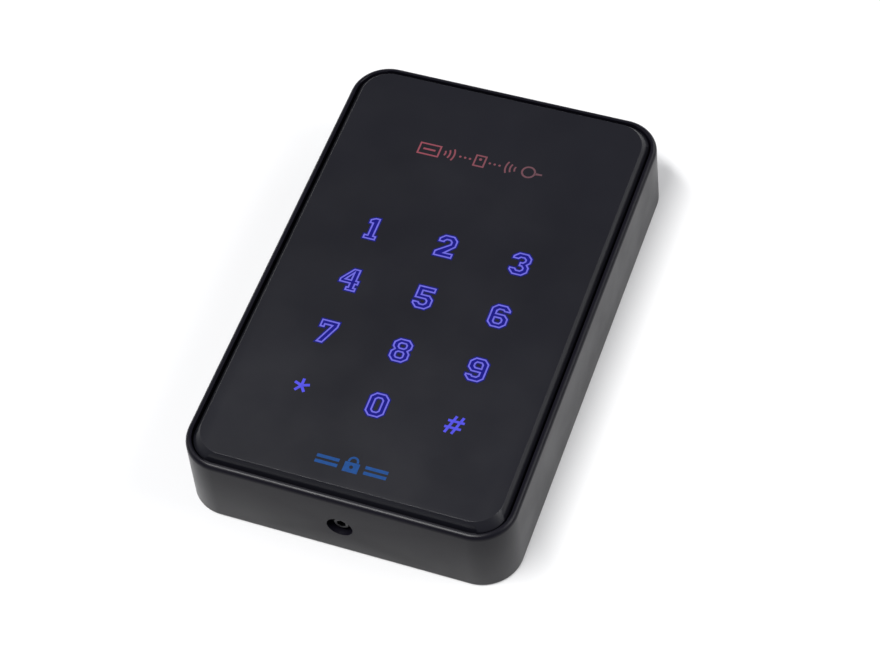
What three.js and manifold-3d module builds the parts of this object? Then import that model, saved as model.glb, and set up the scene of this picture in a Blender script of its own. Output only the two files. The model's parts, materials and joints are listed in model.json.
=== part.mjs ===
// Wall-mounted RFID card reader with a touch keypad.
// Millimetres. The wall is the plane z = 0, +Z points out of the front face, +Y to the reader's top.

import * as THREE from 'three';
import { mergeVertices } from 'three/addons/utils/BufferGeometryUtils.js';
import Module from 'manifold-3d';

const wasm = await Module();
wasm.setup();

// ---- driving dimensions ----

const CASE_W = 77;              // case outline at the wall, across
const CASE_H = 120;             // case outline at the wall, up and down
const CASE_CORNER_R = 9.1;      // outline corner radius at the wall
const CASE_DRAFT = 0.5;         // how far each wall leans in by the rim
const RIM_Z = 19.2;             // flat rim round the touch panel
const RIM_FILLET = 1.2;         // rounding of the rim's outer edge
const WALL = 2.0;               // case wall at the rim
const FRONT_WALL = 1.4;         // web under the touch panel
const BACK_GAP = 0.3;           // case edge to the wall surface
const GAP = 0.3;                // clearance between assembled pieces
const FIT_GAP = 0.6;            // clearance round the wall plate
const OVERLAP = 0.2;            // how far joined shapes run into each other
const HOOK_REACH = 0.57;        // share of a catch notch that its hook fills

const LEDGE = 1.6;              // visible flat rim outside the panel
const PANEL_RISE = 1.3;         // panel face above the rim
const PANEL_T = 2.6;            // panel thickness
const SLOPE_W = 1.35;           // plan width of the panel's sloping side
const SLOPE_H = 1.9;            // height of the panel's sloping side
const PANEL_FILLET = 0.2;       // rounding where the slope meets the face
const FILM_T = 0.3;             // sensor film and diffuser

const PLATE_T = 1.5;            // steel wall plate
const PLATE_SPACE = 2.7;        // room over the plate for the heads of the wall screws
const COVER_T = 1.8;            // rear cover
const SEAL_T = 0.6;             // rear cover gasket
const SEAL_W = 1.0;             // gasket width
const INNER_SIDE = 1.5;         // extra side wall that the gasket seats on
const CROSS_WALL = 1.6;         // walls that close the compartment at its ends
const LOCK_BAY = 14;            // bay for the locking tab, inside the bottom wall
const HOOK_BAY = 4.9;           // bay for the hooks, inside the top wall

const BOARD_T = 1.6;            // circuit board
const BOARD_GAP = 2.0;          // board edge to the compartment wall
const BAFFLE_T = 2.7;           // light baffle
const WINDOW_MARGIN = 1.2;      // compartment end to the window in the front wall
const WINDOW_SIDE = 2.2;        // outer key cells to the side of the window
const KEY_PITCH_X = 17.8;       // keypad columns
const KEY_PITCH_Y = 15.05;      // keypad rows
const KEY_END = 25.6;           // last keypad row above the case's lower end
const KEY_CELL = 10;            // light cell behind one key
const STATUS_END = 22.2;        // status window below the case's upper end
const STATUS_CELL_W = 34;       // status window light cell
const STATUS_CELL_H = 6;

const BOSS_R = 3.1;             // cover screw bosses
const BOSS_INSET = 2.3;         // boss axis from the compartment walls
const COVER_SCREW_R = 1.1;
const BOARD_SCREW_R = 0.9;
const BOARD_BOSS_R = 2.3;
const BOARD_SCREW_SIDE = 3;     // board screws beside the window
const BOARD_SCREW_END = 19.5;   // board screws from the compartment's ends

const LOCK_Z = 9.1;             // security screw axis above the wall
const LOCK_R = 1.5;             // M3 security screw
const LOCK_HEAD_R = 2.65;
const HEAD_ROOM = 0.35;         // bore round the screw head
const LOCK_HEAD_T = 1.9;
const LOCK_RECESS = 1.0;        // head below the bottom wall, screw backed off
const LOCK_TRAVEL = 3.1;        // free way for the screw's travel
const LOCK_LENGTH = 8.5;        // shank
const LOCK_TUBE_WALL = 1.6;
const LOCK_SHELF_T = 1.4;       // shelf that the head pulls against
const RETAINER_T = 0.8;
const RETAINER_R = 2.8;
const TAB_W = 16;               // locking tab of the wall plate
const TAB_HEAD_ROOM = 4.1;      // tab above the screw axis
const INSERT_R = 2.6;           // threaded insert
const INSERT_L = 2.9;

const HOOK_X = 20;              // hooks each side of the middle
const HOOK_W = 8;
const HOOK_T = 1.3;
const HOOK_TOP_Z = 8;
const HOOK_LIP = 1.6;           // lip that enters the case's top wall
const CATCH_DEPTH = 1.4;        // notch in the top wall
const CATCH_ROOM = 1.0;         // notch above and below the lip
const PLATE_CORNER_R = 6;
const WIRE_WINDOW_W = 30;       // opening in the wall plate for the wiring
const WIRE_WINDOW_H = 40;
const SLOT_W = 5;               // wall screw slots
const SLOT_L = 9;
const SLOT_SIDE = 11.4;         // slots from the plate's sides
const SLOT_TOP_END = 14.9;      // upper slots from the plate's top edge
const SLOT_LOW_END = 20.9;      // lower slots from the plate's bottom edge

const OUTLET_Y = -8;            // cable outlet, below the middle
const OUTLET_R = 5.5;           // free hole of the grommet
const GROMMET_WALL = 1.9;
const GROMMET_FLANGE = 1.6;
const GROMMET_LIP = 0.7;

const TAMPER_X = -22;           // tamper plunger
const TAMPER_Y = 24;
const TAMPER_R = 2.0;
const TAMPER_COLLAR_R = 2.6;
const TAMPER_COLLAR_T = 0.8;
const TAMPER_STEM_R = 1.2;
const TAMPER_TRAVEL = 1.0;
const TAMPER_TIP_Z = 0.5;
const SPRING_R = 1.95;
const SPRING_WIRE_R = 0.2;
const SPRING_TURNS = 3.5;
const SPRING_L = 2.9;

const CORNER_STEPS = 10;        // most segments in a quarter of an outline corner
const ROUND_STEPS = 28;         // most segments in a full turn

// ---- places worked out from them ----

const caseHalfW = CASE_W / 2;
const caseHalfH = CASE_H / 2;
const panelZ = RIM_Z + PANEL_RISE;
const panelBottomZ = panelZ - PANEL_T;
const pocketZ = panelBottomZ - GAP * 3 - FILM_T * 2;
const frontInnerZ = pocketZ - FRONT_WALL;
const coverZ = PLATE_T + PLATE_SPACE;
const coverTopZ = coverZ + COVER_T;
const sealZ = coverTopZ + GAP;
const seatZ = sealZ + SEAL_T + GAP;
const cavityHalfW = caseHalfW - CASE_DRAFT - WALL;
const cavityHalfH = caseHalfH - CASE_DRAFT - WALL;
const cavityR = CASE_CORNER_R - CASE_DRAFT - WALL;
const roomHalfW = cavityHalfW - INNER_SIDE;
const roomLowY = -cavityHalfH + LOCK_BAY + CROSS_WALL;
const roomTopY = cavityHalfH - HOOK_BAY - CROSS_WALL;
const roomY = (roomLowY + roomTopY) / 2;
const roomHalfH = (roomTopY - roomLowY) / 2;
const baffleZ = pocketZ - 0.1 - BAFFLE_T;
const boardTopZ = baffleZ - GAP;
const boardZ = boardTopZ - BOARD_T;
const partTopZ = boardZ - GAP;
const windowW = KEY_PITCH_X * 2 + KEY_CELL + WINDOW_SIDE * 2;
const windowH = roomHalfH * 2 - WINDOW_MARGIN * 2;
const keyTopY = -caseHalfH + KEY_END + KEY_PITCH_Y * 3;
const statusY = caseHalfH - STATUS_END;
const pocketHalfW = caseHalfW - CASE_DRAFT - LEDGE;
const pocketHalfH = caseHalfH - CASE_DRAFT - LEDGE;
const pocketR = CASE_CORNER_R - CASE_DRAFT - LEDGE;
const coverBosses = [-1, 1].flatMap(sx => [-1, 1].map(sy => (
  [sx * (roomHalfW - BOSS_INSET), roomY + sy * (roomHalfH - BOSS_INSET)])));
const boardBosses = [-1, 1].flatMap(sx => [-1, 1].map(sy => (
  [sx * (windowW / 2 + BOARD_SCREW_SIDE), roomY + sy * (roomHalfH - BOARD_SCREW_END)])));
const plateHalfW = cavityHalfW - FIT_GAP;
const plateHalfH = cavityHalfH - FIT_GAP;
const wallSlots = [-1, 1].flatMap(sx => [plateHalfH - SLOT_TOP_END, SLOT_LOW_END - plateHalfH]
  .map(y => [sx * (plateHalfW - SLOT_SIDE), y]));
const bottomWallY = -caseHalfH + CASE_DRAFT * LOCK_Z / RIM_Z;
const headY = bottomWallY + LOCK_RECESS;
const shankY = headY + LOCK_HEAD_T;
const shelfY = shankY + LOCK_TRAVEL + GAP;
const shelfInnerY = shelfY + LOCK_SHELF_T;
const retainerY = shelfInnerY + GAP;
const tipY = shankY + LOCK_LENGTH;
const tabY = Math.max(tipY + LOCK_R * 0.6, retainerY + RETAINER_T + LOCK_TRAVEL + GAP);
const collarZ = coverTopZ + GAP;
const springZ = collarZ + TAMPER_COLLAR_T + GAP;
const springTopZ = springZ + SPRING_L;

// ---- solids: closed meshes that can be joined and cut ----

function solid(geometry) {
  const bare = geometry.clone();
  bare.deleteAttribute('normal');
  bare.deleteAttribute('uv');
  const merged = mergeVertices(bare, 1e-5);
  return new wasm.Manifold(new wasm.Mesh({
    numProp: 3,
    vertProperties: Float32Array.from(merged.attributes.position.array),
    triVerts: Uint32Array.from(merged.index.array),
  }));
}

function geometryOf(body) {
  const mesh = body.getMesh();
  const geometry = new THREE.BufferGeometry();
  geometry.setAttribute('position', new THREE.BufferAttribute(mesh.vertProperties, 3));
  geometry.setIndex(new THREE.BufferAttribute(mesh.triVerts, 1));
  geometry.computeVertexNormals();
  return geometry;
}

const join = (...bodies) => bodies.reduce((whole, next) => whole.add(next));
const cut = (body, ...tools) => tools.reduce((rest, tool) => rest.subtract(tool), body);

// Small corners and thin rods need fewer segments than the case.
const cornerSteps = radius => Math.max(2, Math.min(CORNER_STEPS, Math.ceil(radius * 1.2)));
const roundSteps = radius => Math.min(ROUND_STEPS, 4 * Math.max(3, Math.round(radius * 1.5 + 2)));

// One turn round a rounded rectangle, anticlockwise.
function outline(halfW, halfH, radius, cx, cy, steps) {
  const r = Math.max(0.05, Math.min(radius, halfW, halfH));
  const points = [];
  for (let corner = 0; corner < 4; corner += 1) {
    const sx = corner === 0 || corner === 3 ? 1 : -1;
    const sy = corner < 2 ? 1 : -1;
    for (let step = 0; step <= steps; step += 1) {
      const turn = (corner + step / steps) * Math.PI / 2;
      points.push(new THREE.Vector2(
        cx + sx * (halfW - r) + r * Math.cos(turn),
        cy + sy * (halfH - r) + r * Math.sin(turn)));
    }
  }
  return points;
}

// A body that passes through outlines at rising heights: [z, halfW, halfH, radius].
function loft(sections, cx = 0, cy = 0) {
  const steps = cornerSteps(Math.max(...sections.map(section => section[3])));
  const rings = sections.map(([z, w, h, r]) => outline(w, h, r, cx, cy, steps)
    .map(point => new THREE.Vector3(point.x, point.y, z)));
  const count = rings[0].length;
  const positions = rings.flat().flatMap(point => point.toArray());
  const faces = [];
  for (let level = 0; level < rings.length - 1; level += 1) {
    for (let side = 0; side < count; side += 1) {
      const next = (side + 1) % count;
      const low = level * count;
      const high = low + count;
      faces.push(low + side, low + next, high + next, low + side, high + next, high + side);
    }
  }
  const top = (rings.length - 1) * count;
  for (let side = 1; side < count - 1; side += 1) {
    faces.push(0, side + 1, side, top, top + side, top + side + 1);
  }
  const geometry = new THREE.BufferGeometry();
  geometry.setAttribute('position', new THREE.Float32BufferAttribute(positions, 3));
  geometry.setIndex(faces);
  return solid(geometry);
}

const slab = (halfW, halfH, radius, z0, z1, cx = 0, cy = 0) => (
  loft([[z0, halfW, halfH, radius], [z1, halfW, halfH, radius]], cx, cy));

function box(x0, x1, y0, y1, z0, z1) {
  const geometry = new THREE.BoxGeometry(x1 - x0, y1 - y0, z1 - z0);
  geometry.translate((x0 + x1) / 2, (y0 + y1) / 2, (z0 + z1) / 2);
  return solid(geometry);
}

// A round body about Z: profile points are [radius, z], from the axis back to the axis.
function turned(profile, cx = 0, cy = 0) {
  const steps = roundSteps(Math.max(...profile.map(point => point[0])));
  const geometry = new THREE.LatheGeometry(profile.map(([r, z]) => new THREE.Vector2(r, z)), steps);
  geometry.rotateX(Math.PI / 2);
  geometry.translate(cx, cy, 0);
  return solid(geometry);
}

const rod = (r, z0, z1, cx = 0, cy = 0) => (
  turned([[0, z0], [r, z0], [r, z1], [0, z1]], cx, cy));

// A round body about the security screw's axis: profile points are [radius, y].
function turnedOnLock(profile) {
  const steps = roundSteps(Math.max(...profile.map(point => point[0])));
  const geometry = new THREE.LatheGeometry(profile.map(([r, y]) => new THREE.Vector2(r, y)), steps);
  geometry.translate(0, 0, LOCK_Z);
  return solid(geometry);
}

const lockRod = (r, y0, y1) => turnedOnLock([[0, y0], [r, y0], [r, y1], [0, y1]]);

// ---- nodes ----

const reader = new THREE.Group();

function addNode(name, body, color, roughness, metalness = 0) {
  const material = new THREE.MeshStandardMaterial({ color, roughness, metalness });
  const mesh = new THREE.Mesh(geometryOf(body), material);
  mesh.name = name;
  reader.add(mesh);
}

function wallPlate() {
  const hookY = cavityHalfH - CATCH_DEPTH * HOOK_REACH - HOOK_T;
  const sheet = slab(plateHalfW, plateHalfH, PLATE_CORNER_R, 0, PLATE_T);
  const tab = slab(TAB_W / 2, PLATE_T / 2, 0.2, PLATE_T - 0.2, LOCK_Z + TAB_HEAD_ROOM,
    0, tabY + PLATE_T / 2);
  const hooks = [-HOOK_X, HOOK_X].map(x => join(
    box(x - HOOK_W / 2, x + HOOK_W / 2, hookY, hookY + HOOK_T, PLATE_T - 0.2, HOOK_TOP_Z),
    box(x - HOOK_W / 2, x + HOOK_W / 2, hookY, hookY + HOOK_T + HOOK_LIP,
      HOOK_TOP_Z - HOOK_T, HOOK_TOP_Z)));
  const slots = wallSlots.map(([x, y]) => (
    slab(SLOT_W / 2, SLOT_L / 2, SLOT_W / 2, -1, PLATE_T + 1, x, y)));
  const wireWindow = slab(WIRE_WINDOW_W / 2, WIRE_WINDOW_H / 2, 5, -1, PLATE_T + 1, 0, OUTLET_Y);
  const tamperHole = rod(TAMPER_R + 2, -1, PLATE_T + 1, TAMPER_X, TAMPER_Y);
  const insertHole = lockRod(INSERT_R + GAP, tabY - 1, tabY + PLATE_T + 1);
  return cut(join(sheet, tab, ...hooks), ...slots, wireWindow, tamperHole, insertHole);
}

function threadedInsert() {
  const bore = LOCK_R + GAP;
  const flangeR = INSERT_R + 1.2;
  const flangeY = tabY + PLATE_T + GAP;
  const endY = Math.max(tabY + INSERT_L, flangeY + 0.9);
  return turnedOnLock([[bore, tabY], [INSERT_R, tabY], [INSERT_R, flangeY], [flangeR, flangeY],
    [flangeR, endY], [bore, endY], [bore, tabY]]);
}

function frontHousing() {
  const rimLean = caseHalfW - CASE_DRAFT;
  const rimLeanH = caseHalfH - CASE_DRAFT;
  const rimR = CASE_CORNER_R - CASE_DRAFT;
  const fillet = [1, 2, 3, 4, 5].map(step => {
    const turn = step / 5 * Math.PI / 2;
    const inset = RIM_FILLET * (1 - Math.cos(turn));
    const z = RIM_Z - RIM_FILLET + RIM_FILLET * Math.sin(turn);
    return [z, rimLean - inset, rimLeanH - inset, rimR - inset];
  });
  const outer = loft([
    [BACK_GAP, caseHalfW, caseHalfH, CASE_CORNER_R],
    [RIM_Z - RIM_FILLET, rimLean, rimLeanH, rimR],
    ...fillet]);
  const cavity = slab(cavityHalfW, cavityHalfH, cavityR, -1, frontInnerZ);
  const shell = cut(outer, cavity);
  const roomShell = cut(
    slab(cavityHalfW + 0.3, roomHalfH + CROSS_WALL, 4, seatZ, frontInnerZ + OVERLAP, 0, roomY),
    slab(roomHalfW, roomHalfH, 0.8, seatZ - 1, frontInnerZ, 0, roomY));
  const bosses = coverBosses.map(([x, y]) => rod(BOSS_R, seatZ, frontInnerZ + OVERLAP, x, y));
  const boardPosts = boardBosses.map(([x, y]) => (
    rod(BOARD_BOSS_R, boardTopZ + GAP, frontInnerZ + OVERLAP, x, y)));
  const tube = lockRod(LOCK_HEAD_R + HEAD_ROOM + LOCK_TUBE_WALL, bottomWallY + 0.6, shelfInnerY);
  const tubeRib = box(-1.2, 1.2, bottomWallY + 0.6, shelfInnerY, LOCK_Z + LOCK_HEAD_R, frontInnerZ + OVERLAP);
  const pocket = slab(pocketHalfW, pocketHalfH, pocketR, pocketZ, panelZ);
  const lightWindow = slab(windowW / 2, windowH / 2, 6, frontInnerZ - 1, pocketZ + 1, 0, roomY);
  const coverPilots = coverBosses.map(([x, y]) => (
    rod(COVER_SCREW_R + GAP, seatZ - 1, frontInnerZ - 1, x, y)));
  const boardPilots = boardBosses.map(([x, y]) => (
    rod(BOARD_SCREW_R + GAP, boardTopZ - 1, frontInnerZ + FRONT_WALL * 0.4, x, y)));
  const headBore = lockRod(LOCK_HEAD_R + HEAD_ROOM, bottomWallY - 1, shelfY);
  const shankBore = lockRod(LOCK_R + GAP, shelfY - 1, shelfInnerY + 1);
  const catches = [-HOOK_X, HOOK_X].map(x => box(
    x - HOOK_W / 2 - FIT_GAP, x + HOOK_W / 2 + FIT_GAP, cavityHalfH - 1, cavityHalfH + CATCH_DEPTH,
    HOOK_TOP_Z - HOOK_T - CATCH_ROOM, HOOK_TOP_Z + CATCH_ROOM));
  return cut(join(shell, roomShell, ...bosses, ...boardPosts, tube, tubeRib),
    pocket, lightWindow, ...coverPilots, ...boardPilots, headBore, shankBore, ...catches);
}

function touchPanel() {
  const halfW = pocketHalfW - GAP;
  const halfH = pocketHalfH - GAP;
  const r = pocketR - GAP;
  const slope = Math.hypot(SLOPE_W, SLOPE_H);
  const sides = [
    [panelBottomZ, 0],
    [panelZ - SLOPE_H, 0],
    [panelZ - PANEL_FILLET * SLOPE_H / slope, SLOPE_W - PANEL_FILLET * SLOPE_W / slope],
    [panelZ, SLOPE_W + PANEL_FILLET]];
  return loft(sides.map(([z, inset]) => [z, halfW - inset, halfH - inset, r - inset]));
}

function panelAdhesive() {
  const width = pocketHalfW - GAP * 2;
  const height = pocketHalfH - GAP * 2;
  const inner = windowW / 2 + 4;
  return cut(
    slab(width, height, pocketR - GAP, pocketZ + GAP, panelBottomZ - GAP),
    slab(inner, windowH / 2 + 2, 4, pocketZ, panelBottomZ, 0, roomY));
}

const lightSheet = (z0) => (
  slab(windowW / 2 + 3, windowH / 2 + 1.5, 4, z0, z0 + FILM_T, 0, roomY));

const keyNames = ['1', '2', '3', '4', '5', '6', '7', '8', '9', 'star', '0', 'hash'];
const keyPlaces = keyNames.map((name, index) => [
  name,
  (index % 3 - 1) * KEY_PITCH_X,
  keyTopY - Math.floor(index / 3) * KEY_PITCH_Y,
]);

function lightBaffle() {
  const block = slab(windowW / 2 - 0.4, windowH / 2 - 0.4, 5.6, baffleZ, baffleZ + BAFFLE_T, 0, roomY);
  const cells = keyPlaces.map(([, x, y]) => (
    slab(KEY_CELL / 2, KEY_CELL / 2, 1.5, baffleZ - 1, baffleZ + BAFFLE_T + 1, x, y)));
  const statusCell = slab(STATUS_CELL_W / 2, STATUS_CELL_H / 2, 1.5, baffleZ - 1,
    baffleZ + BAFFLE_T + 1, 0, statusY);
  return cut(block, ...cells, statusCell);
}

function mainBoard() {
  const board = slab(roomHalfW - BOARD_GAP, roomHalfH - BOARD_GAP, 12, boardZ, boardTopZ, 0, roomY);
  return cut(board, ...boardBosses.map(([x, y]) => (
    rod(BOARD_SCREW_R + GAP, boardZ - 1, boardTopZ + 1, x, y))));
}

// A surface-mount lamp: white body with a raised clear window.
const lamp = (x, y) => loft([
  [boardTopZ + GAP, 1.75, 1.4, 0.2], [boardTopZ + GAP + 0.7, 1.75, 1.4, 0.2],
  [boardTopZ + GAP + 0.7, 1.35, 1.1, 0.5], [boardTopZ + GAP + 1.0, 1.2, 0.95, 0.5]], x, y);

// A flat package on the back of the board, with its legs along two sides.
function chip(halfW, halfH, height, x, y, legs) {
  const low = partTopZ - height;
  const middle = low + height * 0.4;
  const footZ = middle + 0.1;
  const body = loft([[low, halfW - 0.2, halfH - 0.2, 0.2], [middle, halfW, halfH, 0.2],
    [partTopZ - 0.15, halfW - 0.15, halfH - 0.15, 0.2]], x, y);
  const pitch = (halfW * 2 - 0.8) / Math.max(1, legs - 1);
  const leads = Array.from({ length: legs }, (_, leg) => {
    const legX = x - halfW + 0.4 + leg * pitch;
    return join(
      box(legX - 0.2, legX + 0.2, y - halfH - 0.7, y + halfH + 0.7, footZ, footZ + 0.2),
      box(legX - 0.2, legX + 0.2, y - halfH - 0.9, y - halfH - 0.5, footZ, partTopZ),
      box(legX - 0.2, legX + 0.2, y + halfH + 0.5, y + halfH + 0.9, footZ, partTopZ));
  });
  return join(body, ...leads);
}

function voltageRegulator(x, y) {
  return join(
    box(x - 3.2, x + 3.2, y - 3, y + 3, partTopZ - 2.2, partTopZ - 0.1),
    box(x - 2.7, x + 2.7, y + 2.9, y + 4.4, partTopZ - 0.5, partTopZ),
    ...[-2.3, 2.3].map(dx => (
      box(x + dx - 0.4, x + dx + 0.4, y - 5.2, y - 2.9, partTopZ - 0.5, partTopZ))));
}

function capacitor(x, y) {
  const low = partTopZ - 4.6;
  return join(
    slab(2.7, 2.7, 0.6, partTopZ - 0.7, partTopZ, x, y),
    turned([[0, low], [2.3, low], [2.5, low + 0.2], [2.5, partTopZ - 1.4], [2.3, partTopZ - 1.2],
      [2.3, partTopZ - 0.9], [2.5, partTopZ - 0.6], [0, partTopZ - 0.6]], x, y));
}

const crystal = (x, y) => join(
  slab(5.2, 2.1, 2.1, partTopZ - 0.7, partTopZ, x, y),
  slab(4.8, 1.75, 1.75, partTopZ - 3.4, partTopZ - 0.6, x, y));

function buzzer(x, y) {
  const low = partTopZ - 4.2;
  const bodyR = 4.5;
  return cut(
    turned([[0, low], [bodyR - 0.3, low], [bodyR, low + 0.3], [bodyR, partTopZ], [0, partTopZ]], x, y),
    rod(1.1, low - 1, low + 1, x, y));
}

function harnessSocket() {
  const low = partTopZ - 3.8;
  return cut(
    box(-10, 10, OUTLET_Y - 2.9, OUTLET_Y + 2.9, low, partTopZ),
    box(-9.2, 9.2, OUTLET_Y - 2.1, OUTLET_Y + 2.1, low - 1, partTopZ - 1),
    ...[-6, 6].map(x => box(x - 0.8, x + 0.8, OUTLET_Y - 3.5, OUTLET_Y - 2, low - 1, low + 1.6)));
}

function antennaCoil() {
  const halfW = roomHalfW - 1.5;
  const halfH = roomHalfH - 1.3;
  const width = 2.4;
  return cut(
    loft([[partTopZ - 1.8, halfW - 0.4, halfH - 0.4, 13.6], [partTopZ - 1.4, halfW, halfH, 14],
      [partTopZ - 0.4, halfW, halfH, 14], [partTopZ, halfW - 0.4, halfH - 0.4, 13.6]], 0, roomY),
    slab(halfW - width, halfH - width, 14 - width, partTopZ - 3, partTopZ + 1, 0, roomY));
}

function rearCover() {
  const plate = slab(cavityHalfW - 0.4, roomHalfH + CROSS_WALL, 4, coverZ, coverTopZ, 0, roomY);
  const holes = coverBosses.map(([x, y]) => join(
    rod(COVER_SCREW_R + GAP, coverZ - 1, coverTopZ + 1, x, y),
    rod(COVER_SCREW_R * 2 + GAP, coverZ - 1, coverZ + 1.1, x, y)));
  const outlet = rod(OUTLET_R + GROMMET_WALL + GAP, coverZ - 1, coverTopZ + 1, 0, OUTLET_Y);
  const guide = rod(TAMPER_R + GAP, coverZ - 1, coverTopZ + 1, TAMPER_X, TAMPER_Y);
  return cut(plate, ...holes, outlet, guide);
}

function coverGasket() {
  const outerW = cavityHalfW - 0.3;
  const outerH = roomHalfH + CROSS_WALL - 0.2;
  return cut(
    slab(outerW, outerH, 4, sealZ, sealZ + SEAL_T, 0, roomY),
    slab(outerW - SEAL_W, outerH - SEAL_W - 0.2, 3, sealZ - 1, sealZ + SEAL_T + 1, 0, roomY));
}

// A pan-head screw about Z, head down, with a cross recess.
function panScrew(r, headZ, headT, tipZ, x, y) {
  const headR = r * 2;
  const body = turned([[0, headZ], [headR * 0.6, headZ], [headR, headZ + headT * 0.5],
    [headR, headZ + headT], [r, headZ + headT], [r, tipZ - r], [r * 0.3, tipZ], [0, tipZ]], x, y);
  const slotHalf = headR * 0.55;
  const slotT = headR * 0.12;
  return cut(body,
    box(x - slotHalf, x + slotHalf, y - slotT, y + slotT, headZ - 1, headZ + headT * 0.5),
    box(x - slotT, x + slotT, y - slotHalf, y + slotHalf, headZ - 1, headZ + headT * 0.5));
}

function cableGrommet() {
  const neck = OUTLET_R + GROMMET_WALL;
  const flange = neck + GROMMET_FLANGE;
  const lowZ = coverZ - GAP;
  const highZ = coverTopZ + GAP;
  return turned([[OUTLET_R, lowZ - GROMMET_LIP], [flange, lowZ - GROMMET_LIP], [flange, lowZ],
    [neck, lowZ], [neck, highZ], [flange - 0.4, highZ], [flange - 0.4, highZ + GROMMET_LIP],
    [OUTLET_R, highZ + GROMMET_LIP], [OUTLET_R, lowZ - GROMMET_LIP]], 0, OUTLET_Y);
}

function tamperPlunger() {
  const stemTop = springTopZ - TAMPER_TRAVEL;
  return turned([[0, TAMPER_TIP_Z], [TAMPER_R - 0.6, TAMPER_TIP_Z], [TAMPER_R, TAMPER_TIP_Z + 0.6],
    [TAMPER_R, collarZ], [TAMPER_COLLAR_R, collarZ], [TAMPER_COLLAR_R, collarZ + TAMPER_COLLAR_T],
    [TAMPER_STEM_R, collarZ + TAMPER_COLLAR_T], [TAMPER_STEM_R, stemTop], [0, stemTop]],
  TAMPER_X, TAMPER_Y);
}

function tamperSpring() {
  const rise = SPRING_L - SPRING_WIRE_R * 2;
  const points = Array.from({ length: SPRING_TURNS * 14 + 1 }, (_, step) => {
    const turn = step / 14;
    return new THREE.Vector3(SPRING_R * Math.cos(turn * 2 * Math.PI),
      SPRING_R * Math.sin(turn * 2 * Math.PI), rise * turn / SPRING_TURNS);
  });
  const wire = new THREE.Shape();
  wire.absarc(0, 0, SPRING_WIRE_R, 0, 2 * Math.PI, false);
  const geometry = new THREE.ExtrudeGeometry(wire, {
    steps: points.length - 1, curveSegments: 4, bevelEnabled: false,
    extrudePath: new THREE.CatmullRomCurve3(points),
  });
  geometry.translate(TAMPER_X, TAMPER_Y, springZ + SPRING_WIRE_R);
  return solid(geometry);
}

const tamperSwitch = () => slab(3.4, 3.4, 0.5, springTopZ + GAP, partTopZ, TAMPER_X, TAMPER_Y);

function securityScrew() {
  const grooveR = LOCK_R - 0.55;
  const body = turnedOnLock([[0, headY], [LOCK_HEAD_R * 0.62, headY], [LOCK_HEAD_R, headY + 1.0],
    [LOCK_HEAD_R, shankY], [LOCK_R, shankY], [LOCK_R, retainerY - GAP], [grooveR, retainerY - GAP],
    [grooveR, retainerY + RETAINER_T + GAP], [LOCK_R, retainerY + RETAINER_T + GAP],
    [LOCK_R, tipY - 0.6], [LOCK_R - 0.5, tipY], [0, tipY]]);
  const socket = new THREE.CylinderGeometry(1.15, 1.15, 2.4, 6);
  socket.translate(0, headY, LOCK_Z);
  return cut(body, solid(socket));
}

function screwRetainer() {
  const inner = LOCK_R - 0.25;
  const endY = retainerY + RETAINER_T;
  return turnedOnLock([[inner, retainerY], [RETAINER_R, retainerY], [RETAINER_R, endY],
    [inner, endY], [inner, retainerY]]);
}

const BLACK = 0x1b1c20;
const STEEL = 0x8f9296;
const WHITE = 0xe8e8e2;
const CHIP = 0x161616;

addNode('wall_plate', wallPlate(), 0x3a3b3d, 0.5, 0.7);
addNode('threaded_insert', threadedInsert(), 0xb8923f, 0.35, 1);
addNode('front_housing', frontHousing(), BLACK, 0.5);
addNode('touch_panel', touchPanel(), 0x141519, 0.22);
addNode('panel_adhesive', panelAdhesive(), 0x2a2a2a, 0.9);
addNode('legend_diffuser', lightSheet(pocketZ + GAP), 0xf2f2f6, 0.6);
addNode('touch_sensor_film', lightSheet(pocketZ + GAP * 2 + FILM_T), 0xc9b58a, 0.4);
addNode('light_baffle', lightBaffle(), WHITE, 0.7);
addNode('main_board', mainBoard(), 0x12452c, 0.45);
keyPlaces.forEach(([name, x, y]) => addNode(`key_led_${name}`, lamp(x, y), 0xf4f0d8, 0.3));
addNode('status_led_left', lamp(-STATUS_CELL_W / 4, statusY), 0xf4d8d0, 0.3);
addNode('status_led_right', lamp(STATUS_CELL_W / 4, statusY), 0xd8f4d8, 0.3);
addNode('antenna_coil', antennaCoil(), 0x9c4a1e, 0.35, 0.8);
addNode('controller_chip', chip(5, 4.6, 1.5, -13, roomY + 3.5, 8), CHIP, 0.6);
addNode('reader_chip', chip(4.4, 2, 1.5, 8, roomTopY - 29, 7), CHIP, 0.6);
addNode('touch_chip', chip(5, 3.7, 1.6, -17, roomLowY + 18, 8), CHIP, 0.6);
addNode('voltage_regulator', voltageRegulator(17, roomLowY + 22), CHIP, 0.6);
addNode('capacitor', capacitor(26.4, OUTLET_Y + 4), 0xb4b6b8, 0.35, 0.8);
addNode('crystal', crystal(0, roomY + 1.5), 0xc8cacc, 0.25, 1);
addNode('buzzer', buzzer(20, roomY + 3.5), CHIP, 0.55);
addNode('harness_socket', harnessSocket(), WHITE, 0.5);
addNode('rear_cover', rearCover(), BLACK, 0.6);
addNode('cover_gasket', coverGasket(), 0x6a6c70, 0.85);
coverBosses.forEach(([x, y], index) => addNode(`cover_screw_${index + 1}`,
  panScrew(COVER_SCREW_R, coverZ - 0.25, 1.05, frontInnerZ - 1.6, x, y), STEEL, 0.35, 1));
boardBosses.forEach(([x, y], index) => addNode(`board_screw_${index + 1}`,
  panScrew(BOARD_SCREW_R, boardZ - GAP - 0.9, 0.9, frontInnerZ, x, y), STEEL, 0.35, 1));
addNode('cable_grommet', cableGrommet(), 0x202020, 0.9);
addNode('tamper_switch', tamperSwitch(), 0x2b2b2b, 0.5);
addNode('tamper_plunger', tamperPlunger(), WHITE, 0.5);
addNode('tamper_spring', tamperSpring(), STEEL, 0.3, 1);
addNode('security_screw', securityScrew(), 0x2c2c2e, 0.35, 1);
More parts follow.
